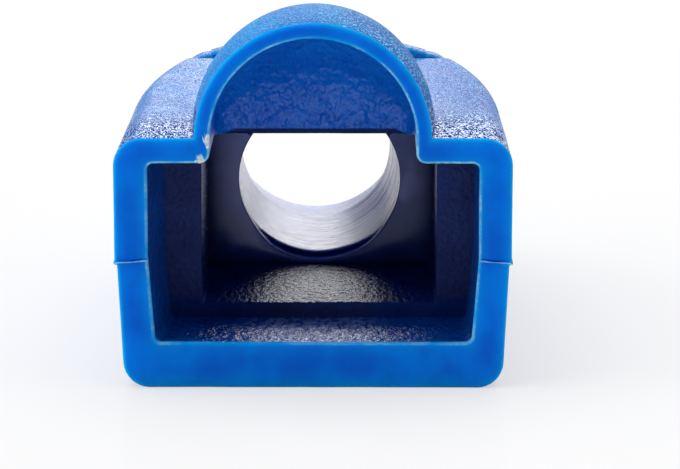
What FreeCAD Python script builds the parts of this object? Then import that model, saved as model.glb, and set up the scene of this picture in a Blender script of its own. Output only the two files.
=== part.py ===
import FreeCAD, Part

import math
import os

# RJ45 strain relief boot with a latch cover, moulded in one piece from soft PVC.
# Millimetres. +Z up. The plug goes in along +Y through the mouth, and the cable
# leaves along +Y. The origin is on the resting face, in the middle of the part's
# width and length.

# Overall
length = 22.5  # mouth to cable end

# Housing
mouth_width = 14.17  # outside, above the parting plane
housing_height = 9.1
housing_length = 17.5
straight_length = 8.5  # of the flanks, before they curve in
flank_taper = 0.8  # degrees, each flank, seen from above
sweep_radius = 30.0  # of the flanks towards the tail, seen from above
shoulder_radius = 1.0  # long edges along the top
rear_shoulder_radius = 0.4  # of the same edges at the rear face
rear_edge_radius = 0.3
foot_radius = 0.95  # long edges along the bottom
parting_height = 4.55  # plane where the two halves of the mould meet
lower_draft = 2.8  # degrees, flanks below the parting plane

# Latch cover: a bubble on top of the housing that keeps the latch from snagging
cover_radius = 4.37  # at its crown
cover_axis_height = 9.0
cover_crown_depth = 2.4  # from the mouth to the crown
cover_tail_length = 8.8  # from the crown to the tip
cover_cavity_radius = 3.66
cover_cavity_depth = 5.45

# Pocket for the rear of the plug
pocket_width = 11.8
pocket_draft = 4.2  # degrees, side walls below the parting plane
pocket_floor = 1.67
pocket_roof = 8.2
pocket_depth = 3.87  # as far as the step that stops the plug
pocket_corner_radius = 0.25
slot_corner_radius = 0.8  # rear corners of the slot between the cover and the pocket
slot_lip_radius = 0.35  # where that slot opens into the pocket

# Chamber behind the step, where the pairs come together
chamber_width = 8.6
chamber_floor = 2.2
chamber_end = 10.43  # from the mouth to the rear wall

# Cable bore
bore_radius = 3.0
bore_height = 5.55
bore_straight = 7.0  # length that keeps the radius
bore_end_radius = 3.65  # at the cable end
lead_in_radius = 3.1  # at the rear wall of the chamber
lead_in_drop = 0.05  # the lead-in is centred this far under the bore's axis
lead_in_length = 0.5

# Tail: a sleeve with a collar behind the housing, and rings that bend with the cable
sleeve_radius = 4.2
rib_thickness = 1.0  # of the collar and of each ring
collar_gap = 0.35  # between the housing and the collar
collar_width = 11.1
collar_height = 8.6
collar_crown_radius = 15.0  # of its top and bottom
collar_corner_radius = 1.2
ring_count = 2
ring_radius = 4.75  # of the ring next to the collar
ring_narrowing = 0.2  # from one ring to the next

SWEEP_SPANS = 2  # between the sections that shape the swept flanks
OVERRUN = 2.0  # how far a cutting shape reaches past the face that it opens

Y_AXIS = FreeCAD.Vector(0, 1, 0)
Z_AXIS = FreeCAD.Vector(0, 0, 1)


def at(x, y, z):
    """A point whose y is measured from the mouth."""
    return FreeCAD.Vector(x, y - length / 2, z)


def closed_profile(points):
    """A face bounded by straight lines through the points."""
    return Part.Face(Part.makePolygon(points + points[:1]))


def edges_where(shape, test):
    """The edges whose bounding box passes a test; its y is measured from the mouth."""
    found = []
    for edge in shape.Edges:
        box = edge.BoundBox
        box.move(FreeCAD.Vector(0, length / 2, 0))
        if test(box):
            found.append(edge)
    return found


def lies_along_y(box):
    """Whether an edge with this bounding box is a line along Y."""
    return box.XLength < 1e-6 and box.ZLength < 1e-6


# ---- Housing ----


def half_width(y):
    """Half the housing's width, above the parting plane, at a depth from the mouth."""
    slope = math.radians(flank_taper)
    if y <= straight_length:
        return mouth_width / 2 - math.tan(slope) * y
    # Past the straight run the flank follows an arc that leaves it at a tangent.
    bend = mouth_width / 2 - math.tan(slope) * straight_length
    along = y - straight_length + sweep_radius * math.sin(slope)
    return bend - sweep_radius * math.cos(slope) + math.sqrt(sweep_radius**2 - along**2)


def housing_section(y):
    """The housing's outline across at a depth from the mouth."""
    behind = max(0.0, (y - straight_length) / (housing_length - straight_length))
    shoulder = shoulder_radius + behind * (rear_shoulder_radius - shoulder_radius)
    half = half_width(y)
    draft = math.radians(lower_draft)
    foot_x = half - parting_height * math.tan(draft)
    # The foot's arc touches both the resting face and the drafted flank.
    arc_x = foot_x + foot_radius * (math.tan(draft) - 1 / math.cos(draft))

    def on_foot(angle):
        return at(arc_x + foot_radius * math.cos(angle), y, foot_radius + foot_radius * math.sin(angle))

    def on_shoulder(angle):
        inner = shoulder * (1 - math.cos(angle))
        return at(half - inner, y, housing_height - shoulder * (1 - math.sin(angle)))

    right = [
        on_foot(-math.pi / 2),
        on_foot(-(math.pi / 2 + draft) / 2),
        on_foot(-draft),
        at(half, y, parting_height),
        on_shoulder(0),
        on_shoulder(math.pi / 4),
        on_shoulder(math.pi / 2),
    ]
    left = [FreeCAD.Vector(-p.x, p.y, p.z) for p in right]
    return Part.Wire(
        [
            Part.makeLine(left[0], right[0]),
            Part.Arc(right[0], right[1], right[2]).toShape(),
            Part.makeLine(right[2], right[3]),
            Part.makeLine(right[3], right[4]),
            Part.Arc(right[4], right[5], right[6]).toShape(),
            Part.makeLine(right[6], left[6]),
            Part.Arc(left[6], left[5], left[4]).toShape(),
            Part.makeLine(left[4], left[3]),
            Part.makeLine(left[3], left[2]),
            Part.Arc(left[2], left[1], left[0]).toShape(),
        ]
    )


def with_planes(loft):
    """The same solid, whose level faces are held as planes."""
    faces = []
    for face in loft.Faces:
        box = face.BoundBox
        if box.ZLength < 1e-6:
            face = Part.Face(Part.Plane(at(0, 0, box.ZMin), Z_AXIS), face.OuterWire)
        faces.append(face)
    shell = Part.makeShell(faces)
    shell.sewShape()
    return Part.Solid(shell)


def housing():
    """The solid body: a straight run and a swept one, with its rear edges rounded."""
    straight = with_planes(
        Part.makeLoft([housing_section(0), housing_section(straight_length)], True, True)
    )
    reach = housing_length - straight_length
    stations = [straight_length + reach * i / SWEEP_SPANS for i in range(SWEEP_SPANS + 1)]
    swept = Part.makeLoft([housing_section(y) for y in stations], True)
    swept = swept.makeFillet(
        rear_edge_radius, edges_where(swept, lambda b: b.YMin > housing_length - 1e-3)
    )
    return straight.fuse(swept)


# ---- Latch cover ----


def cover():
    """The bubble: an egg shape turned about a line along Y, cut off at the mouth."""
    centre = at(0, cover_crown_depth, cover_axis_height)
    egg = Part.Ellipse(
        centre + Y_AXIS * cover_tail_length, centre + Z_AXIS * cover_radius, centre
    )
    # The cut at the mouth runs through the egg ahead of its crown.
    mouth_angle = math.acos(-cover_crown_depth / cover_tail_length)
    arc = Part.ArcOfEllipse(egg, 0, mouth_angle).toShape()
    rim, tip = arc.valueAt(arc.LastParameter), arc.valueAt(arc.FirstParameter)
    foot = at(0, 0, cover_axis_height)
    outline = Part.Wire([arc, Part.makeLine(rim, foot), Part.makeLine(foot, tip)])
    return Part.Face(outline).revolve(foot, Y_AXIS, 360)


def vault():
    """The hollow's ceiling as a surface: a half circle at the mouth that sinks to a straight rear edge.

    Across it is a half ellipse everywhere, and along it a quarter ellipse, so that it
    is the product of two conics, which a surface of degree two by two holds exactly.
    """
    corner = math.sqrt(0.5)
    across = [(1, 0, 1), (1, 1, corner), (0, 1, 1), (-1, 1, corner), (-1, 0, 1)]
    along = [(0, 1, 1), (1, 1, corner), (1, 0, 1)]
    poles, weights = [], []
    for x, x_rise, x_weight in across:
        poles.append(
            [
                at(
                    x * cover_cavity_radius,
                    depth * cover_cavity_depth,
                    cover_axis_height + x_rise * y_rise * cover_cavity_radius,
                )
                for depth, y_rise, y_weight in along
            ]
        )
        weights.append([x_weight * y_weight for depth, y_rise, y_weight in along])
    surface = Part.BSplineSurface()
    surface.buildFromPolesMultsKnots(
        poles, [3, 2, 3], [3, 3], [0, 1, 2], [0, 1], False, False, 2, 2, weights
    )
    return surface


def cover_hollow():
    """The hollow under the cover, with the slot that joins it to the pocket."""
    radius, depth = cover_cavity_radius, cover_cavity_depth
    corners = [
        at(radius, 0, cover_axis_height),
        at(-radius, 0, cover_axis_height),
        at(-radius, depth, cover_axis_height),
        at(radius, depth, cover_axis_height),
    ]
    base = closed_profile(corners)
    arch = Part.Arc(corners[0], at(0, 0, cover_axis_height + radius), corners[1]).toShape()
    front = Part.Face(Part.Wire([arch, Part.makeLine(corners[1], corners[0])]))
    shell = Part.makeShell([vault().toShape(), base, front])
    shell.sewShape()
    dome = Part.Solid(shell)
    slot = base.extrude(-Z_AXIS * (cover_axis_height - pocket_roof + pocket_corner_radius))
    # The two rear corners are rounded all the way up, by a column that trims them.
    column = Part.makeBox(
        2 * radius, 2 * depth, housing_height + cover_radius, at(-radius, -depth, 0)
    )
    rear_corners = edges_where(column, lambda b: b.ZLength > housing_height and b.YMin > 0)
    column = column.makeFillet(slot_corner_radius, rear_corners)
    return dome.fuse(slot).common(column).fuse(front.extrude(-Y_AXIS * OVERRUN))


# ---- Pocket and chamber ----


def pocket():
    """The pocket for the plug: upright walls above the parting plane, drafted ones below."""
    half = pocket_width / 2
    foot = half - (parting_height - pocket_floor) * math.tan(math.radians(pocket_draft))
    corners = [
        at(-foot, -OVERRUN, pocket_floor),
        at(foot, -OVERRUN, pocket_floor),
        at(half, -OVERRUN, parting_height),
        at(half, -OVERRUN, pocket_roof),
        at(-half, -OVERRUN, pocket_roof),
        at(-half, -OVERRUN, parting_height),
    ]
    solid = closed_profile(corners).extrude(Y_AXIS * (OVERRUN + pocket_depth))
    long_corners = edges_where(
        solid, lambda b: lies_along_y(b) and abs(b.ZMin - parting_height) > pocket_corner_radius
    )
    return solid.makeFillet(pocket_corner_radius, long_corners)


def chamber():
    """The narrower chamber behind the step."""
    solid = Part.makeBox(
        chamber_width,
        chamber_end,
        pocket_roof - chamber_floor,
        at(-chamber_width / 2, 0, chamber_floor),
    )
    return solid.makeFillet(pocket_corner_radius, edges_where(solid, lies_along_y))


# ---- Bore ----


def circle(y, z, radius):
    """A circle that faces along Y."""
    return Part.Wire(Part.makeCircle(radius, at(0, y, z), Y_AXIS))


def bore():
    """The cable's way out: an offset lead-in, a straight run and a flare."""
    lead_in = Part.makeLoft(
        [
            circle(chamber_end, bore_height - lead_in_drop, lead_in_radius),
            circle(chamber_end + lead_in_length, bore_height, bore_radius),
        ],
        True,
    )
    straight_end = chamber_end + bore_straight
    # It starts inside the chamber, so that nothing is left between the two hollows.
    straight = Part.makeCylinder(
        bore_radius, bore_straight + OVERRUN, at(0, chamber_end - OVERRUN, bore_height), Y_AXIS
    )
    flare = Part.makeLoft(
        [
            circle(straight_end, bore_height, bore_radius),
            circle(length, bore_height, bore_end_radius),
        ],
        True,
    )
    return straight.fuse([lead_in, flare])


# ---- Tail ----


def collar():
    """The collar behind the housing: crowned above and below."""
    half, rise = collar_width / 2, collar_height / 2
    y = housing_length + collar_gap
    sagitta = collar_crown_radius - math.sqrt(collar_crown_radius**2 - half**2)
    top = [
        at(-half, y, bore_height + rise - sagitta),
        at(0, y, bore_height + rise),
        at(half, y, bore_height + rise - sagitta),
    ]
    bottom = [
        at(half, y, bore_height - rise + sagitta),
        at(0, y, bore_height - rise),
        at(-half, y, bore_height - rise + sagitta),
    ]
    outline = Part.Wire(
        [
            Part.Arc(*top).toShape(),
            Part.makeLine(top[2], bottom[0]),
            Part.Arc(*bottom).toShape(),
            Part.makeLine(bottom[2], top[0]),
        ]
    )
    solid = Part.Face(outline).extrude(Y_AXIS * rib_thickness)
    return solid.makeFillet(collar_corner_radius, edges_where(solid, lies_along_y))


def ring(index):
    """One round ring of the tail. The last of them ends at the cable end."""
    collar_y = housing_length + collar_gap
    pitch = (length - rib_thickness - collar_y) / ring_count
    y = collar_y + pitch * (index + 1)
    radius = ring_radius - ring_narrowing * index
    return Part.makeCylinder(radius, rib_thickness, at(0, y, bore_height), Y_AXIS)


def tail():
    """The sleeve round the bore, with its collar and rings."""
    root = housing_length - rear_edge_radius / 2
    sleeve = Part.makeCylinder(sleeve_radius, length - root, at(0, root, bore_height), Y_AXIS)
    return sleeve.fuse([collar()] + [ring(i) for i in range(ring_count)])


# ---- The whole boot ----


def boot():
    """The moulding in one piece."""
    outside = housing().fuse([cover(), tail()])
    inside = pocket().fuse([chamber(), cover_hollow(), bore()])
    solid = outside.cut(inside).removeSplitter()
    lip = edges_where(
        solid,
        lambda b: abs(b.ZMin - pocket_roof) + abs(b.ZMax - pocket_roof) < 1e-4
        and b.YMax < cover_cavity_depth + 1e-3
        and max(-b.XMin, b.XMax) < cover_cavity_radius + 1e-3,
    )
    return solid.makeFillet(slot_lip_radius, lip).Solids[0]


os.makedirs("parts", exist_ok=True)
boot().exportStep("parts/strain_relief_boot.step")
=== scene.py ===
import logging
import math
from dataclasses import dataclass
from enum import Enum
from typing import Callable

import bmesh
import bpy
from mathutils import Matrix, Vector, noise


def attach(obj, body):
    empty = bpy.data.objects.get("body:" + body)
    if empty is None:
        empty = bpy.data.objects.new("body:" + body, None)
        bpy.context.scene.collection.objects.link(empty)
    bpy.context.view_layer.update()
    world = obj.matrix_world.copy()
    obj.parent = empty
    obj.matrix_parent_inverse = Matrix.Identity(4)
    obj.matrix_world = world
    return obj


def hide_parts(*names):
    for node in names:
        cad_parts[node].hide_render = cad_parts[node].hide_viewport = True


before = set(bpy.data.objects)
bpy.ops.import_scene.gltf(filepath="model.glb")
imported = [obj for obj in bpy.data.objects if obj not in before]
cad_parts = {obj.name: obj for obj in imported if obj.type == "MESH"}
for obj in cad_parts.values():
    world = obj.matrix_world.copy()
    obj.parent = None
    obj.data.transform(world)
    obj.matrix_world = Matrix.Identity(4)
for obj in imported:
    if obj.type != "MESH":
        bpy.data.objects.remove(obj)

# The strain relief boot for an RJ45 plug, in the frame of its CAD model. Sizes are in
# millimetres until a mesh is written; positions along the boot are depths from the mouth.

MM = 0.001
QUARTER = math.pi / 2
TOUCHING = 1e-4
CAD_NODE = "strain_relief_boot"
MASKS = ("rim", "skin", "cover", "bore", "vault", "deep_shade", "edge", "glow")

# How many points each stretch of half a section has, from the bottom to the top.
FLAT, FOOT, LOWER, LEDGE, UPPER = 14, 8, 10, 8, 12
SHOULDER, TOP, LIP, WALL, ARCH = 10, 16, 8, 5, 36
HALF = FLAT + FOOT + LOWER + LEDGE + UPPER + SHOULDER + TOP + LIP + WALL + ARCH

# Where in half a section the parting ledge, the slot's lip and the arch begin.
LEDGE_START = FLAT + FOOT + LOWER
SLOT_START = HALF - ARCH - WALL - LIP
ARCH_START = HALF - ARCH

Spot = tuple[float, float]
Point = tuple[float, float, float]
Ring = list[Point]

log = logging.getLogger("boot")


# ---- Shader graphs ----


class Signal:
    """A shader socket that takes part in arithmetic."""

    def __init__(self, graph: "Graph", socket: bpy.types.NodeSocket) -> None:
        """Wraps a socket of a graph."""
        self.graph = graph
        self.socket = socket

    def _maths(self, operation: str, *values: "Signal | float") -> "Signal":
        """Adds a Math node with the values as its inputs."""
        inputs = dict(enumerate(values))
        return self.graph.node("ShaderNodeMath", {"operation": operation}, inputs)

    def __add__(self, other: "Signal | float") -> "Signal":
        """This signal plus another."""
        return self._maths("ADD", self, other)

    def __radd__(self, other: float) -> "Signal":
        """A number plus this signal."""
        return self._maths("ADD", other, self)

    def __sub__(self, other: "Signal | float") -> "Signal":
        """This signal minus another."""
        return self._maths("SUBTRACT", self, other)

    def __rsub__(self, other: float) -> "Signal":
        """A number minus this signal."""
        return self._maths("SUBTRACT", other, self)

    def __mul__(self, other: "Signal | float") -> "Signal":
        """This signal times another."""
        return self._maths("MULTIPLY", self, other)

    def __rmul__(self, other: float) -> "Signal":
        """A number times this signal."""
        return self._maths("MULTIPLY", other, self)

    def size(self) -> "Signal":
        """This signal without its sign."""
        return self._maths("ABSOLUTE", self)

    def step(self, low: float, high: float) -> "Signal":
        """A smooth step from 0 at low to 1 at high."""
        ranges = {"Value": self, "From Min": low, "From Max": high}
        return self.graph.node("ShaderNodeMapRange", {"interpolation_type": "SMOOTHSTEP"}, ranges)


class Graph:
    """A node tree that is written as expressions."""

    def __init__(self, tree: bpy.types.NodeTree) -> None:
        """Empties a tree for writing."""
        self.tree = tree
        tree.nodes.clear()

    def node(
        self,
        kind: str,
        settings: dict[str, object] | None = None,
        inputs: dict[str | int, object] | None = None,
        output: str | int = 0,
    ) -> Signal:
        """Adds a node.

        Args:
            kind: The node's type.
            settings: Its properties.
            inputs: Values or signals for its input sockets, by name or place.
            output: The output socket to return, by name or place.

        Returns:
            The chosen output.
        """
        made = self.tree.nodes.new(kind)
        for name, value in (settings or {}).items():
            setattr(made, name, value)
        for name, value in (inputs or {}).items():
            if isinstance(value, Signal):
                self.tree.links.new(value.socket, made.inputs[name])
            else:
                made.inputs[name].default_value = value
        return Signal(self, made.outputs[output] if len(made.outputs) else None)

    def axis(self, place: Signal, name: str) -> Signal:
        """One axis of a position."""
        return self.node("ShaderNodeSeparateXYZ", {}, {0: place}, name)

    def mix(self, share: Signal | float, first: object, second: object) -> Signal:
        """A share of the second colour in the first; either is a colour or a signal."""
        inputs = {0: share, 6: first, 7: second}
        return self.node("ShaderNodeMix", {"data_type": "RGBA"}, inputs, 2)


def new_material(name: str) -> tuple[bpy.types.Material, Graph]:
    """Starts a material.

    Args:
        name: Its name.

    Returns:
        The material and its empty graph.
    """
    material = bpy.data.materials.new(name)
    material.use_nodes = True
    return material, Graph(material.node_tree)


def srgb(red: int, green: int, blue: int) -> tuple[float, float, float, float]:
    """A linear colour from display values.

    Args:
        red: The red, from 0 to 255.
        green: The green.
        blue: The blue.

    Returns:
        The colour, opaque.
    """
    linear = []
    for value in (red, green, blue):
        share = value / 255
        linear.append(share / 12.92 if share <= 0.04045 else ((share + 0.055) / 1.055) ** 2.4)
    return (*linear, 1.0)


@dataclass(frozen=True)
class Pattern:
    """A noise in the PVC's surface.

    Attributes:
        per_mm: Features in a millimetre, along every axis or along each.
        detail: Octaves.
        rough: How strong the finer octaves are.
        folded: Whether it's folded at its middle, which makes ridges of it.
        span: The range that is drawn out to 0 and 1, if any.
    """

    per_mm: float | Point
    detail: float = 2.0
    rough: float = 0.5
    folded: bool = False
    span: Spot | None = None

    def draw(self, graph: Graph, place: Signal) -> Signal:
        """Draws the noise.

        Args:
            graph: The material's graph.
            place: The position on the boot, in millimetres.

        Returns:
            The noise, from 0 to 1.
        """
        scale = self.per_mm
        if isinstance(scale, tuple):
            factors = {0: place, 1: scale}
            place = graph.node("ShaderNodeVectorMath", {"operation": "MULTIPLY"}, factors)
            scale = 1.0
        inputs = {"Vector": place, "Scale": scale, "Detail": self.detail, "Roughness": self.rough}
        drawn = graph.node("ShaderNodeTexNoise", {}, inputs)
        if self.folded:
            drawn = 1 - (drawn * 2 - 1).size()
        return drawn.step(*self.span) if self.span else drawn


@dataclass(frozen=True)
class Sheen:
    """How one region of the PVC takes light."""

    colour: tuple[int, int, int]
    shade: tuple[int, int, int]
    roughness: float
    gloss: float
    grain: float
    subsurface: float


@dataclass(frozen=True)
class Shared:
    """The signals that all regions of the PVC take.

    Attributes:
        broad: Slow variation, from 0 to 1.
        grain: Fine variation, from 0 to 1.
        edge: How much painted highlight a point has; past 1, it is a white speck.
        glow: How much painted glow the rim's edges and the collar's front have.
    """

    broad: Signal
    grain: Signal
    edge: Signal
    glow: Signal


@dataclass(frozen=True)
class SoftPvc:
    """The satin, slightly grainy finish of soft blue PVC.

    The bands are where a region's look changes, in millimetres: across the boot, along it
    from its middle, or upwards from its foot.
    """

    name: str = "soft_pvc"
    outside: Sheen = Sheen((0, 128, 220), (0, 110, 204), 0.3, 0.06, 1.0, 0.2)
    glint: Sheen = Sheen((20, 134, 222), (14, 120, 212), 0.2, 0.9, 1.0, 0.2)
    # Dark, matt pits of the grain; the same colour is also painted on as shade elsewhere.
    pit_and_shade: Sheen = Sheen((0, 54, 132), (0, 44, 116), 0.6, 0.0, 0.6, 0.0)
    cover: Sheen = Sheen((0, 150, 230), (0, 130, 218), 0.4, 0.03, 1.0, 0.2)
    rim: Sheen = Sheen((0, 136, 246), (4, 114, 228), 0.5, 0.05, 0.1, 0.6)
    inside: Sheen = Sheen((0, 78, 164), (0, 66, 150), 0.2, 0.24, 1.3, 0.1)
    vault: Sheen = Sheen((14, 126, 236), (6, 112, 224), 0.3, 0.5, 2.6, 0.1)
    # The chamber's colour is darker: painted shade far in the recess.
    deep_shade: Sheen = Sheen((40, 58, 118), (36, 50, 104), 0.24, 0.09, 1.0, 0.0)
    bore: Sheen = Sheen((60, 116, 232), (48, 100, 214), 0.12, 0.62, 0.3, 0.0)
    # Glossier, with a light colour that is painted reflection, for streaks on the pocket's floor.
    painted_reflection: Sheen = Sheen((128, 150, 202), (112, 136, 192), 0.14, 1.0, 1.4, 0.0)
    # Colours of painted highlight, of its white specks, and of painted glow.
    painted_highlight: tuple[int, int, int] = (144, 212, 255)
    speck_highlight: tuple[int, int, int] = (252, 253, 255)
    painted_glow_colour: tuple[int, int, int] = (0, 172, 255)
    grain: Pattern = Pattern(6.0, 2.5, 0.6)
    broad: Pattern = Pattern(0.6, span=(0.35, 0.65))
    patches: Pattern = Pattern((0.9, 0.45, 0.9), 3.0, 0.6, span=(0.35, 0.65))
    ridges: Pattern = Pattern((8.5, 3.4, 7.5), 1.0, folded=True, span=(0.74, 0.92))
    fine: Pattern = Pattern((11.0, 5.0, 11.0), 1.0, span=(0.42, 0.6))
    crinkle: Pattern = Pattern((3.4, 1.6, 2.6))
    streaks: Pattern = Pattern((5.0, 2.4, 5.0), 2.0, 0.6)
    turning: Pattern = Pattern((0.25, 7.0, 0.25), 3.0, 0.6)
    speckle: Pattern = Pattern(7.0, 1.0, span=(0.35, 0.6))
    mouth_band: Spot = (-9.6, -4.6)
    top_band: Spot = (7.4, 8.8)
    shaded_flank: Spot = (2.0, 7.0)
    shaded_cover: Spot = (-1.0, 4.0)
    shaded_bore_side: Spot = (0.6, 1.8)
    floor_band: Spot = (1.74, 1.95)
    deep_floor_band: Spot = (2.26, 2.5)
    centre_reach: Spot = (1.2, 3.1)
    reflection_depths: Spot = (-9.0, -5.5)
    reflection_span: Spot = (0.4, 0.54)
    arc_span: Spot = (0.44, 0.56)
    glow_strength: float = 0.7
    roughness_spread: float = 0.2
    grain_depth: float = 0.09
    scatter: float = 1.0
    scatter_reach: Point = (0.15, 0.45, 1.0)
    ior: float = 1.5

    def region(self, graph: Graph, sheen: Sheen, height: Signal, shared: Shared) -> Signal:
        """One region's shader.

        Args:
            graph: The material's graph.
            sheen: How the region takes light.
            height: The height of its surface, from 0 to 1.
            shared: What it has in common with the others.

        Returns:
            The shader.
        """
        colour = graph.mix(shared.broad, srgb(*sheen.colour), srgb(*sheen.shade))
        # Painted glow, painted highlight and its white specks are mixed over the region's colour.
        colour = graph.mix(shared.glow, colour, srgb(*self.painted_glow_colour))
        colour = graph.mix(shared.edge, colour, srgb(*self.painted_highlight))
        colour = graph.mix(shared.edge - 1, colour, srgb(*self.speck_highlight))
        relief = {
            "Strength": min(1.0, sheen.grain),
            "Distance": self.grain_depth * MM * max(1.0, sheen.grain),
            "Height": height,
        }
        return graph.node(
            "ShaderNodeBsdfPrincipled",
            {"subsurface_method": "RANDOM_WALK"},
            {
                "Base Color": colour,
                "Roughness": sheen.roughness + (shared.grain - 0.5) * self.roughness_spread,
                "Normal": graph.node("ShaderNodeBump", {}, relief),
                "IOR": self.ior,
                "Specular IOR Level": sheen.gloss,
                "Subsurface Weight": sheen.subsurface,
                "Subsurface Radius": self.scatter_reach,
                "Subsurface Scale": self.scatter * MM,
            },
        )

    def layers(
        self, graph: Graph, place: Signal, masks: dict[str, Signal], streaks: Signal
    ) -> list[tuple[Signal, Sheen, Signal]]:
        """The regions that are laid over the plain inside, in order.

        Args:
            graph: The material's graph.
            place: The position on the boot, in millimetres.
            masks: The painted masks.
            streaks: The streaks of the inside.

        Returns:
            For each, how much of it there is, its sheen and its height.
        """
        across, along, above = (graph.axis(place, name) for name in "XYZ")
        patches, ridges = self.patches.draw(graph, place), self.ridges.draw(graph, place)
        fine, crinkle = self.fine.draw(graph, place), self.crinkle.draw(graph, place)
        turning, grain = self.turning.draw(graph, place), self.grain.draw(graph, place)
        near_mouth = (1 - along.step(*self.mouth_band)) * above.step(*self.top_band)
        right = across.step(*self.shaded_flank)
        sheer = (0.1 + patches * 0.34 + fine * 0.15) * (1 - right)
        glints = near_mouth * ridges + (1 - near_mouth) * sheer
        # Grain pits near the mouth, and painted shade over the right flank further back.
        pits_and_shade = near_mouth * (1 - ridges) * 0.95 + (1 - near_mouth) * right * (1 - fine) * 0.25
        # Painted shade: the cover is darker on its right side, broken up by fine noise.
        cover_shade = across.step(*self.shaded_cover) * (1 - fine) * 0.6
        centre = 1 - across.size().step(*self.centre_reach)
        # Painted reflection: light, glossy streaks down the middle of the pocket's floor.
        reflection_streaks = (1 - above.step(*self.floor_band)) * (1 - along.step(*self.reflection_depths))
        reflection_streaks = reflection_streaks * streaks.step(*self.reflection_span) * centre
        # Painted shade: the chamber's floor is darker low down towards its sides.
        floor_side_shade = (1 - above.step(*self.deep_floor_band)) * (1 - centre) * 0.7
        # Faint turning arcs all round the bore, with a dark wedge of painted shade on its right.
        arcs_and_shade = turning.step(*self.arc_span) * (0.03 + across.step(*self.shaded_bore_side) * 0.4)
        return [
            (reflection_streaks, self.painted_reflection, streaks),
            # The chamber and the bore's first rings are painted darker, as shade in the recess.
            (masks["deep_shade"], self.deep_shade, streaks),
            (masks["deep_shade"] * floor_side_shade, self.pit_and_shade, streaks),
            (masks["vault"], self.vault, crinkle),
            (masks["skin"], self.outside, ridges),
            (masks["skin"] * pits_and_shade, self.pit_and_shade, ridges),
            (masks["skin"] * glints, self.glint, ridges),
            (masks["cover"], self.cover, fine),
            (masks["cover"] * cover_shade, self.pit_and_shade, fine),
            (masks["cover"] * fine * 0.18, self.glint, fine),
            (masks["rim"], self.rim, grain),
            (masks["bore"], self.bore, turning),
            (masks["bore"] * arcs_and_shade, self.pit_and_shade, turning),
        ]

    def build(self) -> bpy.types.Material:
        """Makes the material.

        Returns:
            The finished material.
        """
        material, graph = new_material(self.name)
        coords = graph.node("ShaderNodeTexCoord", output="Object")
        place = graph.node("ShaderNodeVectorMath", {"operation": "SCALE"}, {0: coords, 3: 1 / MM})
        masks = {
            mask: graph.node("ShaderNodeAttribute", {"attribute_name": mask}, output="Fac")
            for mask in MASKS
        }
        streaks = self.streaks.draw(graph, place)
        shared = Shared(
            broad=self.broad.draw(graph, place),
            grain=self.grain.draw(graph, place),
            # Painted highlight, broken up by speckle.
            edge=masks["edge"] * (0.45 + self.speckle.draw(graph, place) * 0.55),
            # Painted glow on the rim's edges and the collar's front.
            glow=masks["glow"] * self.glow_strength,
        )
        shader = self.region(graph, self.inside, streaks, shared)
        for share, sheen, height in self.layers(graph, place, masks, streaks):
            other = self.region(graph, sheen, height, shared)
            shader = graph.node("ShaderNodeMixShader", {}, {0: share, 1: shader, 2: other})
        graph.node("ShaderNodeOutputMaterial", {}, {"Surface": shader})
        return material


@dataclass(frozen=True)
class StudioFloor:
    """A glossy white sweep that is lifted towards pure white where the camera sees it."""

    name: str = "studio_floor"
    colour: float = 0.81
    roughness: float = 0.04
    ior: float = 1.02
    lift: float = 0.55

    def build(self) -> bpy.types.Material:
        """Makes the material.

        Returns:
            The finished material.
        """
        material, graph = new_material(self.name)
        gloss = {
            "Base Color": (self.colour, self.colour, self.colour, 1.0),
            "Roughness": self.roughness,
            "IOR": self.ior,
        }
        shader = graph.node("ShaderNodeBsdfPrincipled", {}, gloss)
        camera = graph.node("ShaderNodeLightPath", output="Is Camera Ray")
        white = graph.node("ShaderNodeEmission", {}, {"Color": (1.0, 1.0, 1.0, 1.0)})
        shader = graph.node("ShaderNodeMixShader", {}, {0: camera * self.lift, 1: shader, 2: white})
        graph.node("ShaderNodeOutputMaterial", {}, {"Surface": shader})
        return material


# ---- Meshes ----


def place_mesh(
    name: str, mesh: bmesh.types.BMesh, material: bpy.types.Material
) -> bpy.types.Object:
    """Puts a finished bmesh in the scene.

    Args:
        name: The object's name.
        mesh: The bmesh, which is freed.
        material: What it's made of.

    Returns:
        The object.
    """
    data = bpy.data.meshes.new(name)
    mesh.to_mesh(data)
    mesh.free()
    data.materials.append(material)
    made = bpy.data.objects.new(name, data)
    bpy.context.scene.collection.objects.link(made)
    return made


# ---- Curves and rings ----


def between(start: float, end: float, steps: int) -> list[float]:
    """Evenly spaced values after the start, up to and with the end."""
    return [start + (end - start) * (i + 1) / steps for i in range(steps)]


def line(start: Spot, end: Spot, steps: int) -> list[Spot]:
    """Points on a straight line after its start, up to and with its end."""
    return list(zip(between(start[0], end[0], steps), between(start[1], end[1], steps)))


def arc(centre: Spot, radius: float, start: float, end: float, steps: int) -> list[Spot]:
    """Points on an arc after its first angle, up to and with its last, in radians."""
    turns = between(start, end, steps)
    return [(centre[0] + radius * math.cos(a), centre[1] + radius * math.sin(a)) for a in turns]


def rounded(edge: float, steps: int) -> list[Spot]:
    """A rounded edge between two faces.

    Args:
        edge: Its radius.
        steps: How many steps it has.

    Returns:
        How far each point is off the one face and off the other, from (0, edge) to (edge, 0).
    """
    turns = [0.0] + between(0.0, QUARTER, steps)
    return [(edge * (1 - math.cos(a)), edge * (1 - math.sin(a))) for a in turns]


def smooth(value: float) -> float:
    """A smooth step from 0 at 0 to 1 at 1."""
    held = min(1.0, max(0.0, value))
    return held * held * (3 - 2 * held)


def apart(one: Point, two: Point) -> float:
    """How far apart two points of one section are."""
    return math.hypot(one[0] - two[0], one[2] - two[2])


def part_way(one: Point, two: Point, share: float) -> Point:
    """The point at a share of the way from one point to another."""
    return tuple(a + (b - a) * share for a, b in zip(one, two))


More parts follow.
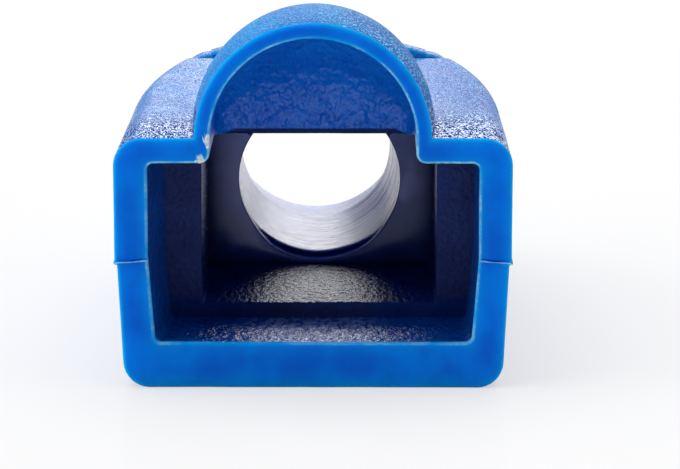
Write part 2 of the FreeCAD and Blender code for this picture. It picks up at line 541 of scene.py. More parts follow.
def close(right: list[Point], left: list[Point]) -> Ring:
    """A ring from its two halves.

    Args:
        right: Points from the bottom's middle to the top's.
        left: The same for the left half, as if it were the right one.

    Returns:
        The whole ring, with its first point again at its end.
    """
    return right + [(-x, y, z) for x, y, z in reversed(left)][1:]


def moved_in(ring: Ring, amount: float, depth: float) -> Ring:
    """A ring moved across its own plane.

    Args:
        ring: The ring, anticlockwise as the mouth is looked at.
        amount: How far it moves inwards; a negative amount moves it outwards.
        depth: The depth that it's put at.

    Returns:
        The moved ring.
    """
    count = len(ring) - 1
    moved = []
    for i in range(count):
        back, ahead = i - 1, i + 1
        while apart(ring[back % count], ring[i]) < TOUCHING:
            back -= 1
        while apart(ring[ahead % count], ring[i]) < TOUCHING:
            ahead += 1
        x, _, z = ring[i]
        one, two = ring[back % count], ring[ahead % count]
        before = Vector((x - one[0], z - one[2])).normalized()
        after = Vector((two[0] - x, two[2] - z)).normalized()
        along = before + after
        if along.length < 1e-3:
            along = before
        along.normalize()
        moved.append((x - along.y * amount, depth, z + along.x * amount))
    return moved + moved[:1]


def round_ring(angles: list[float], reaches: list[float], y: float, height: float) -> Ring:
    """A ring from its points' angles and distances about an axis at a height."""
    return [(r * math.cos(a), y, height + r * math.sin(a)) for a, r in zip(angles, reaches)]


def angles_about(ring: Ring, height: float) -> list[float]:
    """The angles of a ring's points about an axis.

    Args:
        ring: The ring, from the bottom's middle and anticlockwise.
        height: The axis's height.

    Returns:
        Angles that only grow, from -90 degrees to 270 degrees.
    """
    found = []
    for i, (x, _, z) in enumerate(ring):
        angle = math.atan2(z - height, x)
        if i > len(ring) // 2 and angle < QUARTER - 1e-6:
            angle += 2 * math.pi
        found.append(angle)
    found[0], found[-1] = -QUARTER, 3 * QUARTER
    return found


def even_angles(ring: Ring, height: float) -> list[float]:
    """A ring's angles about an axis, evened out where the parting ledge is.

    Args:
        ring: The ring, from the bottom's middle and anticlockwise.
        height: The axis's height.

    Returns:
        The angles.
    """
    angles = angles_about(ring, height)
    first = LEDGE_START - 2
    span = LEDGE + 4
    for start in (first, 2 * HALF - first - span):
        low, high = angles[start], angles[start + span]
        for i in range(1, span):
            angles[start + i] = low + (high - low) * i / span
    return angles


class Side(Enum):
    """Which half of a section a point is on."""

    RIGHT = 1
    LEFT = -1


# ---- The boot ----


@dataclass(frozen=True)
class Plan:
    """The sizes that more than one part of the boot is drawn from."""

    length: float = 22.5
    height: float = 9.1
    parting: float = 4.55
    cover_axis: float = 9.0
    bore_axis: float = 5.55
    pocket_depth: float = 3.87
    cavity_depth: float = 5.45
    chamber_end: float = 10.43
    housing_length: float = 17.5
    cable_edge: float = 0.15


@dataclass(frozen=True)
class Housing:
    """The outside of the housing, with the latch cover grown out of its top."""

    plan: Plan = Plan()
    mouth_half: float = 7.085
    straight_length: float = 8.5
    flank_taper: float = math.radians(0.8)
    sweep_radius: float = 30.0
    shoulder: float = 1.0
    rear_shoulder: float = 0.4
    rear_edge: float = 0.3
    foot: float = 0.95
    lower_draft: float = math.radians(2.8)
    ledge: float = 0.09
    flash: float = 0.06
    cover_radius: float = 4.37
    crown_depth: float = 2.4
    cover_tail: float = 8.8
    tip_fade: float = 4.0
    foot_gap: float = 0.15
    foot_arcs: Spot = (0.3, 0.6)
    foot_shares: Spot = (0.1, 0.15)
    edge_rings: int = 4
    rear_rings: int = 22
    cover_rings: int = 44
    crown_rings: int = 16

    def half_width(self, y: float) -> float:
        """Half the width above the parting plane.

        Args:
            y: The depth.

        Returns:
            The half width there.
        """
        if y <= self.straight_length:
            return self.mouth_half - math.tan(self.flank_taper) * y
        bend = self.mouth_half - math.tan(self.flank_taper) * self.straight_length
        along = y - self.straight_length + self.sweep_radius * math.sin(self.flank_taper)
        drop = self.sweep_radius * math.cos(self.flank_taper)
        return bend - drop + math.sqrt(self.sweep_radius**2 - along**2)

    def radius_at(self, y: float) -> float:
        """The latch cover's radius at a depth, and 0 behind its tip."""
        share = (y - self.crown_depth) / self.cover_tail
        return self.cover_radius * math.sqrt(max(0.0, 1 - share * share))

    def ledge_points(self, half: float, y: float, side: Side) -> list[Spot]:
        """The parting ledge with the flash that stands out over it.

        Args:
            half: Half the width above the ledge.
            y: The depth.
            side: Which half of the section.

        Returns:
            The points, upwards.
        """
        wave = noise.noise(Vector((y * 0.9, side.value * 3.0, 0.0)))
        fine = noise.noise(Vector((y * 4.0, side.value * 7.0, 5.0)))
        thick = self.flash * max(0.15, 0.75 + 0.6 * wave + 0.35 * fine)
        shape = [
            (-self.ledge, -0.09),
            (-self.ledge * 0.9, -0.05),
            (-self.ledge * 0.4, -0.025),
            (thick * 0.9, -0.012),
            (thick, 0.008),
            (thick * 0.35, 0.03),
            (0.0, 0.05),
            (0.0, 0.1),
        ]
        return [(half + dx, self.plan.parting + dz) for dx, dz in shape]

    def half_section(self, y: float, side: Side) -> list[Spot]:
        """Half of the section.

        Args:
            y: The depth.
            side: Which half; it's given as if it were the right one.

        Returns:
            Points (x, z) from the bottom's middle to the top's.
        """
        half = self.half_width(y)
        swept = self.plan.housing_length - self.straight_length
        behind = max(0.0, (y - self.straight_length) / swept)
        shoulder = self.shoulder + behind * (self.rear_shoulder - self.shoulder)
        draft = self.lower_draft
        foot_x = half - self.ledge - self.plan.parting * math.tan(draft)
        arc_x = foot_x + self.foot * (math.tan(draft) - 1 / math.cos(draft))
        points = [(0.0, 0.0)] + line((0.0, 0.0), (arc_x, 0.0), FLAT)
        points += arc((arc_x, self.foot), self.foot, -QUARTER, -draft, FOOT)
        ledge = self.ledge_points(half, y, side)
        points += line(points[-1], (ledge[0][0], ledge[0][1] - 0.03), LOWER)
        points += ledge
        top = self.plan.height - shoulder
        points += line(points[-1], (half, top), UPPER)
        points += arc((half - shoulder, top), shoulder, 0.0, QUARTER, SHOULDER)
        return points + self.top_points(y, points[-1][0])

    def top_points(self, y: float, start: float) -> list[Spot]:
        """The top, from a shoulder to the middle.

        Args:
            y: The depth.
            start: How far out the shoulder ends.

        Returns:
            Points (x, z), inwards along the flat and up over the cover.
        """
        height = self.plan.height
        radius = self.radius_at(y)
        lift = height - self.plan.cover_axis
        side, rest = TOP + LIP // 2, LIP // 2 + WALL + ARCH
        if radius <= lift:
            tip = self.crown_depth + self.cover_tail
            inner = start * smooth((y - tip) / self.tip_fade) * rest / (rest + side)
            flat = line((start, height), (inner, height), side)
            return flat + line((inner, height), (0.0, height), rest)
        foot = math.sqrt(radius * radius - lift * lift)
        near = min(foot + self.foot_gap, start)
        points = line((start, height), (near, height), TOP)
        points += line((near, height), (foot, height), LIP // 2)
        rise = math.asin(lift / radius)
        reach = QUARTER - rise
        turns = [min(a / radius, s * reach) for a, s in zip(self.foot_arcs, self.foot_shares)]
        first = rise + turns[0]
        second = first + turns[1]
        centre = (0.0, self.plan.cover_axis)
        points += arc(centre, radius, rise, first, LIP // 2)
        points += arc(centre, radius, first, second, WALL)
        return points + arc(centre, radius, second, QUARTER, ARCH)

    def ring(self, y: float) -> Ring:
        """The section at a depth."""
        halves = [[(x, y, z) for x, z in self.half_section(y, side)] for side in Side]
        return close(*halves)

    def rings(self, front: float) -> list[Ring]:
        """The outside, from the rear face to the mouth.

        Args:
            front: The depth of the last ring.

        Returns:
            The rings.
        """
        rear = self.plan.housing_length
        base = self.ring(rear - self.rear_edge)
        edge = rounded(self.rear_edge, self.edge_rings)
        rings = [moved_in(base, inset, rear - back) for back, inset in edge]
        tip = self.crown_depth + self.cover_tail
        depths = between(rear - self.rear_edge, tip, self.rear_rings)
        foot = math.acos((self.plan.height - self.plan.cover_axis) / self.cover_radius)
        turns = between(foot + 0.0001, 0.0, self.cover_rings)
        depths += [self.crown_depth + self.cover_tail * math.sin(a) for a in turns]
        depths += between(self.crown_depth, front, self.crown_rings)
        return rings + [self.ring(y) for y in depths]


@dataclass(frozen=True)
class Hollow:
    """The inside: the pocket for the plug, the step, the chamber and the vault above them."""

    plan: Plan = Plan()
    pocket_half: float = 5.9
    pocket_end_halves: Spot = (5.81, 5.49)
    pocket_draft: float = math.radians(4.2)
    pocket_floor: float = 1.67
    corner: float = 0.25
    roof: float = 8.2
    step_edge: float = 0.12
    chamber_halves: Spot = (4.47, 4.14)
    chamber_floor: float = 2.2
    chamber_corner: float = 0.1
    cavity_radius: float = 3.66
    cavity_corner: float = 0.8
    lip: float = 0.35
    seam_rise: float = 0.14
    seam_half: float = 0.08
    seam_share: float = 0.97
    pocket_rings: int = 24
    edge_rings: int = 4
    slot_rings: int = 5
    corner_rings: int = 12
    chamber_rings: int = 20

    def wall(self, y: float, chamber: bool, side: Side, grow: float = 0.0) -> list[Point]:
        """Half of the pocket's or the chamber's section, without its roof.

        Args:
            y: The depth.
            chamber: Whether it's the chamber.
            side: Which half.
            grow: How far the section is moved out into the material.

        Returns:
            Points from the floor's middle to where the flat roof begins.
        """
        which = 0 if side is Side.RIGHT else 1
        parting = self.plan.parting
        if chamber:
            upper = lower = self.chamber_halves[which] + grow
            floor, corner, seam = self.chamber_floor - grow, self.chamber_corner, parting
        else:
            share = min(1.0, max(0.0, y) / self.plan.pocket_depth)
            end = self.pocket_end_halves[which]
            upper = self.pocket_half + share * (end - self.pocket_half) + grow
            lower = upper - (parting - self.pocket_floor) * math.tan(self.pocket_draft)
            floor, corner = self.pocket_floor - grow, self.corner
            seam = parting + self.seam_rise * (1 - share)
        roof = self.roof + (0.0 if chamber else grow)
        points = [(0.0, floor)] + line((0.0, floor), (lower - corner, floor), FLAT)
        points += arc((lower - corner, floor + corner), corner, -QUARTER, 0.0, FOOT)
        low_x = lower + (upper - lower) * self.seam_share
        points += line(points[-1], (low_x, seam - self.seam_half), LOWER)
        points += line(points[-1], (upper, seam + self.seam_half), LEDGE)
        points += line(points[-1], (upper, roof - corner), UPPER)
        points += arc((upper - corner, roof - corner), corner, 0.0, QUARTER, SHOULDER)
        return [(x, y, z) for x, z in points]

    def slot_profile(self, turn: float, y: float, grow: float = 0.0) -> list[Point]:
        """The slot's lip and wall, upwards, at one place along its outline.

        Args:
            turn: 0 on the straight side, and up to a right angle round the rear corner.
            y: The depth on the straight side.
            grow: How far it's moved out into the material.

        Returns:
            Points from the roof, round the lip and up to where the arch begins.
        """
        cos, sin = math.cos(turn), math.sin(turn)
        radius = self.cavity_corner
        base_x = self.cavity_radius - radius + (radius + grow) * cos
        base_y = y if turn == 0.0 else self.plan.cavity_depth - radius + radius * sin
        points = []
        for angle in [0.0] + between(0.0, QUARTER, LIP):
            out = self.lip * (1 - math.sin(angle))
            z = self.roof + grow * math.cos(angle) + self.lip * (1 - math.cos(angle))
            points.append((base_x + out * cos, base_y + out * sin, z))
        heights = between(points[-1][2], self.plan.cover_axis, WALL)
        return points + [(base_x, base_y, z) for z in heights]

    def vault_rise(self, y: float) -> float:
        """How high the vault stands over its foot, at a depth."""
        share = min(1.0, max(0.0, y) / self.plan.cavity_depth)
        return self.cavity_radius * math.sqrt(max(0.0, 1 - share * share))

    def ring(
        self,
        y: float,
        chamber: bool,
        grow: float = 0.0,
        turn: float = 0.0,
        sunk: int = 0,
    ) -> Ring:
        """One ring.

        Args:
            y: The depth.
            chamber: Whether the walls are the chamber's.
            grow: How far the ring is moved out into the material.
            turn: How far round the slot's rear corner it has come.
            sunk: How many points down the slot's rear wall it has come.

        Returns:
            The ring.
        """
        halves = []
        slot_grow = 0.0 if chamber else grow
        for side in Side:
            wall = self.wall(y, chamber, side, grow)
            profile = self.slot_profile(turn, y, slot_grow)
            last = len(profile) - 1 - sunk
            slot = [profile[min(i, last)] for i in range(len(profile))]
            roof = [part_way(wall[-1], slot[0], share) for share in between(0.0, 1.0, TOP)]
            x, foot_y, foot_z = slot[-1]
            rise = 0.0 if sunk else self.vault_rise(foot_y)
            rise += slot_grow if rise > 0 else 0.0
            vault = [
                (x * math.cos(a), foot_y, foot_z + rise * math.sin(a))
                for a in between(0.0, QUARTER, ARCH)
            ]
            halves.append(wall + roof + slot[1:] + vault)
        return close(*halves)

    def roofed_ring(self, y: float) -> Ring:
        """A ring of the chamber behind the slot, under its flat roof.

        Args:
            y: The depth.

        Returns:
            The ring.
        """
        base = self.ring(y, True, turn=QUARTER, sunk=LIP + WALL)
        over = range(SLOT_START, len(base) - SLOT_START)
        return [(x, y if i in over else old, z) for i, (x, old, z) in enumerate(base)]

    def rings(self, front: float) -> list[Ring]:
        """The pocket, the step, the chamber and the chamber's rear wall, inwards.

        Args:
            front: The depth that the pocket's straight walls begin behind.

        Returns:
            The rings.
        """
        step, edge = self.plan.pocket_depth, self.step_edge
        slot_end = self.plan.cavity_depth
        corner = slot_end - self.cavity_corner
        rings = [self.ring(y, False) for y in between(front, step, self.pocket_rings)]
        rings.append(self.ring(step, True, edge))
        for grow, off in reversed(rounded(edge, self.edge_rings)[:-1]):
            rings.append(self.ring(step + off, True, grow))
        rings += [self.ring(y, True) for y in between(step + edge, corner, self.slot_rings)]
        for turn in between(0.0, QUARTER, self.corner_rings):
            rings.append(self.ring(corner + self.cavity_corner * math.sin(turn), True, turn=turn))
        behind = slot_end + self.lip
        for i, y in enumerate(between(slot_end, behind, LIP + WALL)):
            rings.append(self.ring(y, True, turn=QUARTER, sunk=i + 1))
        depths = between(behind, self.plan.chamber_end, self.chamber_rings)
        return rings + [self.roofed_ring(y) for y in depths]


@dataclass(frozen=True)
class Rim:
    """The rounded rim round the mouth, from the housing's outside to the pocket."""

    outer_edge: float = 0.13
    inner_edge: float = 0.1
    edge_rings: int = 5
    face_shares: tuple[float, ...] = (0.08, 0.35, 0.65, 0.92)
    seam_relief: tuple[float, ...] = (0.0, 0.0, -0.04, -0.1, -0.08, 0.1, 0.12, 0.05, 0.0)
    # Painted glow on each of the rim's rings, from the outside in.
    glow: tuple[float, ...] = (
        (1.0, 1.0, 0.9, 0.8, 0.6) + (0.35, 0.0, 0.0, 0.3, 0.65) + (0.8, 1.0, 1.0, 1.0, 0.9)
    )

    def rings(self, housing: Housing, hollow: Hollow) -> list[Ring]:
        """The rim's rings, from the outside in.

        Args:
            housing: The outside that it starts from.
            hollow: The pocket that it ends in.

        Returns:
            The rings.
        """
        outside, inside = housing.ring(self.outer_edge), hollow.ring(0.0, False)
        edge = rounded(self.outer_edge, self.edge_rings)[1:]
        rings = [moved_in(outside, inset, y) for inset, y in edge]
        outer, inner = rings[-1], moved_in(inside, -self.inner_edge, 0.0)
        for share in self.face_shares:
            rings.append([part_way(one, two, share) for one, two in zip(outer, inner)])
        rings.append(inner)
        for out, y in reversed(rounded(self.inner_edge, self.edge_rings)[:-1]):
            rings.append(moved_in(inside, -out, y))
        return [self.with_seam(ring) for ring in rings]

    def with_seam(self, ring: Ring) -> Ring:
        """A ring with the relief of the parting line across it.

        Args:
            ring: The flat ring.

        Returns:
            The ring with its relief.
        """
        moved = list(ring)
        for i, relief in enumerate(self.seam_relief):
            for place in (LEDGE_START + i, 2 * HALF - LEDGE_START - i):
                x, y, z = ring[place]
                moved[place] = (x, y + relief, z)
        return moved


@dataclass(frozen=True)
class Tail:
    """The tail's outside: a sleeve with a crowned collar and two round rings."""

    plan: Plan = Plan()
    sleeve_radius: float = 4.2
    rib_thickness: float = 1.0
    collar_gap: float = 0.35
    collar_width: float = 11.1
    collar_height: float = 8.6
    collar_crown: float = 15.0
    collar_corner: float = 1.2
    ring_radii: tuple[float, ...] = (4.75, 4.55)
    edge_rings: int = 3
    search_steps: int = 30

    def collar_reach(self) -> Callable[[float], float]:
        """How far the collar's outline is from the bore's axis, by angle.

        Returns:
            A function from an angle to that distance.
        """
        half, rise = self.collar_width / 2, self.collar_height / 2
        radius, crown = self.collar_corner, self.collar_crown

        def inside(x: float, z: float) -> bool:
            """Whether a point of the first quarter is within the outline.

            Args:
                x: How far out it is.
                z: How far up it is.

            Returns:
                Whether it is.
            """
            if x > half or z > rise - crown + math.sqrt(crown * crown - x * x):
                return False
            corner_x = half - radius
            corner_z = rise - crown + math.sqrt((crown - radius) ** 2 - corner_x * corner_x)
            if x <= corner_x or z <= corner_z:
                return True
            return math.hypot(x - corner_x, z - corner_z) <= radius

        def reach(angle: float) -> float:
            """The outline's distance at an angle.

            Args:
                angle: The angle.

            Returns:
                The distance.
            """
            cos, sin = abs(math.cos(angle)), abs(math.sin(angle))
            low, high = 0.0, half + rise
            for _ in range(self.search_steps):
                middle = (low + high) / 2
                if inside(middle * cos, middle * sin):
                    low = middle
                else:
                    high = middle
            return low

        return reach

    def rings(self, angles: list[float]) -> list[Ring]:
        """The rings, from the cable end to the housing's rear face.

        Args:
            angles: Where the points are round the axis.

        Returns:
            The rings.
        """
        axis, edge = self.plan.bore_axis, self.plan.cable_edge
        start = self.plan.housing_length + self.collar_gap
        count = len(self.ring_radii)
        pitch = (self.plan.length - self.rib_thickness - start) / count
        sleeve = [self.sleeve_radius] * len(angles)
        collar = self.collar_reach()
        rings = []
        for index in reversed(range(count + 1)):
            reaches = [self.ring_radii[index - 1] if index else collar(a) for a in angles]
            front = start + pitch * index
            rear = front + self.rib_thickness
            side = rounded(edge, self.edge_rings)
            shape = [(rear - off, inset) for off, inset in side]
            shape += [(y, 0.0) for y in between(rear - edge, front + edge, self.edge_rings)[:-1]]
            shape += [(front + off, inset) for off, inset in reversed(side)]
            if index < count:
                rings.append(round_ring(angles, sleeve, rear, axis))
            for y, inset in shape:
                rings.append(round_ring(angles, [r - inset for r in reaches], y, axis))
            rings.append(round_ring(angles, sleeve, front, axis))
        return rings + [round_ring(angles, sleeve, self.plan.housing_length, axis)]


@dataclass(frozen=True)
class Bore:
    """The cable's way through: a worn lead-in, a straight run and a flare."""

    plan: Plan = Plan()
    radius: float = 3.0
    straight: float = 7.0
    end_radius: float = 3.65
    edge: float = 0.05
    land: float = 0.16
    lead_in: float = 0.5
    sag: float = 0.2
    spread: float = 0.2
    edge_rings: int = 3
    lead_rings: int = 3
    straight_rings: int = 16
    flare_rings: int = 12
    end_rings: int = 4

    def ring(
        self, angles: list[float], y: float, radius: float, sag: float = 0.0, spread: float = 0.0
    ) -> Ring:
        """One ring.

        Args:
            angles: Where its points are.
            y: The depth.
            radius: The radius.
            sag: How much of the lead-in's wear at the bottom it has, from 0 to 1.
            spread: How much of its spread to the right it has, from 0 to 1.

        Returns:
            The ring.
        """
        reaches = []
        for a in angles:
            down, right = smooth((-math.sin(a) - 0.45) / 0.55), smooth((math.cos(a) - 0.2) / 0.8)
            reaches.append(radius + self.sag * down * sag + self.spread * right * spread)
        return round_ring(angles, reaches, y, self.plan.bore_axis)

    def rings(self, first: Ring, angles: list[float]) -> list[Ring]:
        """The rings, from the chamber's rear wall to the cable end.

        Args:
            first: The last ring of the chamber.
            angles: Where the points are at the cable end.

        Returns:
            The rings.
        """
        mouth, length, end_edge = self.plan.chamber_end, self.plan.length, self.plan.cable_edge
        start = angles_about(first, self.plan.bore_axis)
        edge = list(reversed(rounded(self.edge, self.edge_rings)))
        rings = [self.ring(start, mouth + off, self.radius + grow, 1.0, 1.0) for grow, off in edge]
        land = mouth + self.edge + self.land
        lead_end, straight_end = mouth + self.lead_in, mouth + self.straight
        rings.append(self.ring(start, land, self.radius, 1.0, 1.0))
        for share in between(0.0, 1.0, self.lead_rings):
            y = land + (lead_end - land) * share
            rings.append(self.ring(start, y, self.radius, 1 - share, 1.0))
        for y in between(lead_end, straight_end, self.straight_rings):
            share = smooth((y - lead_end) / (straight_end - lead_end))
            turned = [a + (b - a) * share for a, b in zip(start, angles)]
            rings.append(self.ring(turned, y, self.radius, 0.0, 1 - share))
        for y in between(straight_end, length - end_edge, self.flare_rings):
            share = (y - straight_end) / (length - straight_end)
            radius = self.radius + (self.end_radius - self.radius) * share
            rings.append(self.ring(angles, y, radius))
        for grow, off in rounded(end_edge, self.end_rings)[1:]:
            rings.append(self.ring(angles, length - off, self.end_radius + grow))
        return rings


@dataclass(frozen=True)
class Flash:
    """Painted highlights on flash, edges and specks, and the relief of flash and specks."""

    speck_highlight: float = 3.0
    specks: tuple[tuple[Point, float], ...] = (
        ((-3.98, 0.05, 8.3), 0.17),
        ((-3.72, 0.1, 8.98), 0.2),
    )
    reach: float = 0.4
    speck_relief: float = 0.1
    burr_relief: float = 0.03
    shoulder_height: float = 11.5
    step_half: float = 0.03
    step_foot: float = 4.0

    def highlight_share(self, mask: str, from_bottom: int, place: Vector, step: float) -> float:
        """How much painted highlight a point has.

        Args:
            mask: Its region; "lip" is the rim's rounded inner edge.
            from_bottom: Its place in its half of the ring.
            place: Where it is.
            step: How deep the step's inner edge is.

        Returns:
            A share from 0 to 1, or more for a white speck.
        """
        # White specks of painted highlight round two given points.
        for centre, reach in self.specks:
            if (place - Vector(centre)).length < reach * (1 + 0.6 * noise.noise(place * 5.0)):
                return self.speck_highlight
        # Painted highlight on the parting line across the rim and along its inner edge.
        if mask in ("rim", "lip"):
            seam = min(1.0, max(0.0, 1 - abs(from_bottom - LEDGE_START - 4) / 2.0) * 1.8)
            return seam if mask == "rim" else max(seam, self.lip_highlight(from_bottom, place))
        # A speckled line of painted highlight on the step's inner edge.
        on_step = mask == "deep_shade" and place.x >= 0 and place.z > self.step_foot
        if on_step and abs(place.y - step) < self.step_half:
            step_highlight = max(0.0, 0.4 + 1.2 * noise.noise(place * 5.0))
            return step_highlight * smooth((place.z - self.step_foot) / 3.0)
        return 0.0

    def lip_highlight(self, from_bottom: int, place: Vector) -> float:
        """How much painted highlight the rim's rounded inner edge has.

        Args:
            from_bottom: The point's place in its half of the ring.
            place: Where it is.

        Returns:
            A share from 0 to 1.
        """
        share = 0.45 + 0.9 * noise.noise(place * 1.7 + Vector((3.0, 0.0, 9.0)))
        roof = LEDGE_START + LEDGE + UPPER + SHOULDER // 2
        # Painted highlight is strongest on the shoulders by the slot, weakest at the pocket's foot.
        if roof <= from_bottom < ARCH_START:
            share += 0.45
        elif from_bottom >= ARCH_START and place.x >= 0:
            share += 0.15 if place.z < self.shoulder_height else -0.2
        elif from_bottom >= ARCH_START:
            share -= 0.05
        elif from_bottom < FLAT:
            share -= 0.35
        return min(1.0, max(0.0, share))

    def relief(self, white: float, place: Vector) -> float:
        """How far a point with painted highlight stands out of the rim."""
        relief = self.speck_relief if white > 1 else self.burr_relief * white
        return relief * (0.5 + noise.noise(place * 6.0))


@dataclass
class BootMoulding:
    """The whole boot as one closed skin: outside, rim, inside, bore and tail."""

    name: str = "boot_moulding"
    plan: Plan = Plan()
    housing: Housing = Housing()
    rim: Rim = Rim()
    hollow: Hollow = Hollow()
    bore: Bore = Bore()
    tail: Tail = Tail()
    flash: Flash = Flash()
    finish: SoftPvc = SoftPvc()
    tail_sway: float = -0.22
    unevenness: float = 0.012
    weld: float = 0.0008
    sliver: float = 0.0005
    sharp_angle: float = math.radians(38)

    def rings(self) -> tuple[list[Ring], list[str]]:
        """Every ring in order, with the mask that each is painted with.

        Returns:
            The rings, and for each the name of its mask or an empty name.
        """
        housing = self.housing.rings(self.rim.outer_edge)
        angles = even_angles(housing[0], self.plan.bore_axis)
        tail = self.tail.rings(angles)
        rim = self.rim.rings(self.housing, self.hollow)
        hollow = self.hollow.rings(self.rim.inner_edge)
        bore = self.bore.rings(hollow[-1], angles)
        face = len(rim) - self.rim.edge_rings
        lead = self.bore.edge_rings + 2
        masks = ["skin"] * (1 + len(tail) + len(housing))
        masks += ["rim"] * face + ["lip"] * self.rim.edge_rings
        masks += ["" if ring[0][1] < self.plan.pocket_depth else "deep_shade" for ring in hollow]
        masks += ["bore"] * lead + ["deep_shade"] * 2 + ["bore"] * (len(bore) - lead - 2)
        return [bore[-1]] + tail + housing + rim + hollow + bore, masks

    def paint(self, mask: str, column: int, place: Point) -> dict[str, float]:
        """What a point is painted with.

        Args:
            mask: Its ring's mask.
            column: Its place in the ring.
            place: Where it is.

        Returns:
            The strength of each mask but the glow.
        """
        from_bottom = min(column, 2 * HALF - column)
        slot_end = self.plan.cavity_depth + 0.01
        if from_bottom > SLOT_START and mask in ("", "deep_shade") and place[1] < slot_end:
            mask = "vault"
        on_cover = place[2] > self.plan.height and place[1] < self.plan.housing_length
        if mask == "skin" and from_bottom > ARCH_START and on_cover:
            mask = "cover"
        step = self.plan.pocket_depth + self.hollow.step_edge
        name = "rim" if mask == "lip" else mask
        values = {key: 1.0 if key == name else 0.0 for key in MASKS}
        # The edge mask carries painted highlight.
        values["edge"] = self.flash.highlight_share(mask, from_bottom, Vector(place), step)
        return values

    def glow(self, from_rim: int, y: float) -> float:
        """How much painted glow the rim's edges and the collar's front have.

        Args:
            from_rim: How many rings further in than the rim's first the point is.
            y: Its depth.

        Returns:
            A share from 0 to 1.
        """
        housing_end = self.plan.housing_length
        # The collar's front face is painted as if it glows.
        if housing_end < y < housing_end + self.tail.collar_gap + self.plan.cable_edge:
            return 1.0
        return self.rim.glow[from_rim] if 0 <= from_rim < len(self.rim.glow) else 0.0

    def sway(self, mask: str, y: float) -> float:
        """How far the tail's lean moves a point sideways.

        Args:
            mask: Its ring's mask.
            y: Its depth.

        Returns:
            The distance, to the right.
        """
        lead_end = self.plan.chamber_end + self.bore.lead_in
        start = lead_end if mask == "bore" else self.plan.housing_length
        return self.tail_sway * smooth((y - start) / (self.plan.length - start))

    def build(self) -> bpy.types.Object:
        """Builds the boot and dresses it.

        Returns:
            The finished object.
        """
        rings, masks = self.rings()
        rows, columns = len(rings) - 1, len(rings[0]) - 1
        first_rim = masks.index("rim")
        mesh = bmesh.new()
        layers = {mask: mesh.verts.layers.float.new(mask) for mask in MASKS}
        bmesh.ops.create_grid(mesh, x_segments=columns, y_segments=rows, size=1.0)
        for vertex in mesh.verts:
            column = round((vertex.co.x + 1) / 2 * columns)
            row = round((vertex.co.y + 1) / 2 * rows)
            mask, place = masks[row], rings[row][column]
            x, y, z = place
            vertex.co = Vector((x + self.sway(mask, y), y - self.plan.length / 2, z)) * MM
            for name, value in self.paint(mask, column, place).items():
                vertex[layers[name]] = value
            vertex[layers["glow"]] = self.glow(row - first_rim, y)
        bmesh.ops.remove_doubles(mesh, verts=mesh.verts[:], dist=self.weld * MM)
        bmesh.ops.dissolve_degenerate(mesh, edges=mesh.edges[:], dist=self.sliver * MM)
        bmesh.ops.recalc_face_normals(mesh, faces=mesh.faces[:])
        mesh.normal_update()
        self.roughen(mesh)
        made = place_mesh(self.name, mesh, self.finish.build())
        faces = made.data.polygons
        faces.foreach_set("use_smooth", [True] * len(faces))
        made.data.set_sharp_from_angle(angle=self.sharp_angle)
        log.info("%s: %d faces", self.name, len(faces))
        return made

    def roughen(self, mesh: bmesh.types.BMesh) -> None:
        """Gives the skin its burrs and the slight unevenness of a soft moulding.

        Args:
            mesh: The skin, painted.
        """
        edge = mesh.verts.layers.float["edge"]
        for vertex in mesh.verts:
            place = vertex.co / MM
            if place.y < self.flash.reach - self.plan.length / 2:
                vertex.co.y -= self.flash.relief(vertex[edge], place) * MM
            swell = noise.noise(place * 0.35) + 0.5 * noise.noise(place * 0.9 + Vector((7, 3, 1)))
            vertex.co += vertex.normal * (swell * self.unevenness * MM)


# ---- Stage ----


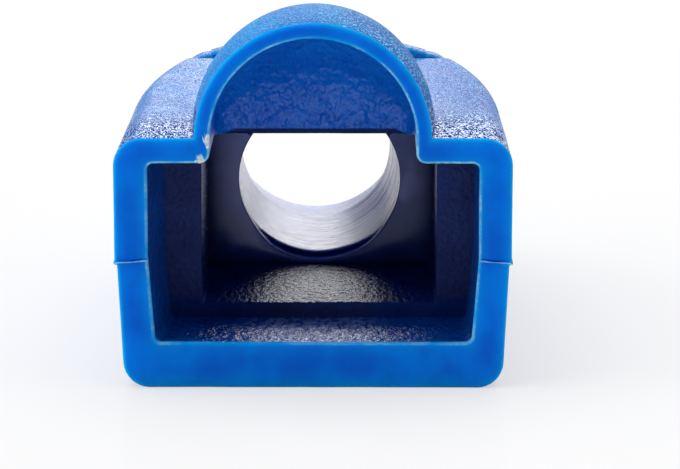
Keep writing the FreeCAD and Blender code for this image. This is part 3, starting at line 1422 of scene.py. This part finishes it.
@dataclass
class Studio:
    """The white sweep, the lights and the camera."""

    floor_name: str = "studio_floor"
    floor_reach: float = 6.0
    finish: StudioFloor = StudioFloor()
    ambient: float = 0.06
    softbox: float = 2.9
    horizon: float = 0.15
    right_horizon: float = 0.7
    sides: float = 1.9
    top: float = 1.9
    coolness: float = 0.015
    key_place: Point = (-0.18, -0.05, 0.4)
    key_aim: Point = (0.0, 0.0, 0.005)
    key_size: float = 0.35
    key_power: float = 0.45
    camera_place: Point = (0.001674, -0.128579, 0.031654)
    camera_tilt: float = math.radians(77.5)
    camera_yaw: float = math.radians(0.35)
    focal_length: float = 179.15
    sensor_width: float = 36.0
    frame_size: tuple[int, int] = (680, 469)

    def build_floor(self) -> bpy.types.Object:
        """Lays the floor.

        Returns:
            The floor.
        """
        mesh = bmesh.new()
        bmesh.ops.create_grid(mesh, x_segments=1, y_segments=1, size=self.floor_reach / 2)
        return place_mesh(self.floor_name, mesh, self.finish.build())

    def build_world(self) -> None:
        """Surrounds the stage with light that is white to the camera."""
        world = bpy.data.worlds.new("studio")
        world.use_nodes = True
        bpy.context.scene.world = world
        graph = Graph(world.node_tree)
        direction = graph.node("ShaderNodeTexCoord", output="Generated")
        across, ahead, up = (graph.axis(direction, name) for name in "XYZ")
        # Each band of the surroundings is drawn from the direction's axes, as shares of 1.
        wide = across * across
        back = ahead.step(0.3, 0.8) * (1 - wide.step(0.06, 0.4))
        back = back * (1 - 0.6 * (0 - across).step(0.05, 0.25))
        softbox = back * up.step(0.02, 0.16) * (1 - up.step(0.25, 0.6))
        horizon = ahead.step(0.2, 0.8) * (1 - up.step(0.06, 0.2))
        sides = wide.step(0.2, 0.85) * (1 - 0.5 * across.step(-0.3, 0.3))
        top = up.step(0.5, 0.95) * ahead.step(-0.6, 0.1)
        level = self.ambient + softbox * self.softbox + sides * self.sides + top * self.top
        level = level + horizon * (self.horizon + across.step(-0.2, 0.1) * self.right_horizon)
        camera = graph.node("ShaderNodeLightPath", output="Is Camera Ray")
        level = level * (1 - camera) + camera
        cool = level * (1 - self.coolness * (1 - camera))
        shade = graph.node("ShaderNodeCombineXYZ", {}, {0: cool, 1: cool, 2: level})
        surround = graph.node("ShaderNodeBackground", {}, {"Color": shade, "Strength": 1.0})
        graph.node("ShaderNodeOutputWorld", {}, {"Surface": surround})

    def build_key(self) -> None:
        """Hangs the soft square lamp over the left front."""
        data = bpy.data.lights.new("key", "AREA")
        data.shape = "SQUARE"
        data.size = self.key_size
        data.energy = self.key_power
        lamp = bpy.data.objects.new("key", data)
        lamp.location = self.key_place
        aim = Vector(self.key_aim) - Vector(self.key_place)
        lamp.rotation_euler = aim.to_track_quat("-Z", "Y").to_euler()
        bpy.context.scene.collection.objects.link(lamp)

    def build_camera(self) -> None:
        """Sets up the camera."""
        data = bpy.data.cameras.new("camera")
        data.sensor_fit = "HORIZONTAL"
        data.sensor_width = self.sensor_width
        data.lens = self.focal_length
        data.clip_start = 0.01
        camera = bpy.data.objects.new("camera", data)
        camera.location = self.camera_place
        camera.rotation_euler = (self.camera_tilt, 0.0, self.camera_yaw)
        scene = bpy.context.scene
        scene.collection.objects.link(camera)
        scene.camera = camera
        scene.render.resolution_x, scene.render.resolution_y = self.frame_size
        scene.render.resolution_percentage = 100
        scene.view_settings.view_transform = "Standard"

    def build(self) -> None:
        """Builds the whole stage."""
        self.build_floor()
        self.build_world()
        self.build_key()
        self.build_camera()


def main() -> None:
    """Builds the boot and its stage, and reports each piece."""
    logging.basicConfig(level=logging.INFO)
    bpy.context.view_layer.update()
    boot = BootMoulding().build()
    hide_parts(CAD_NODE)
    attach(boot, "root")
    log.info("piece %s replaces %s", boot.name, CAD_NODE)
    Studio().build()


if __name__ == "__main__":
    main()
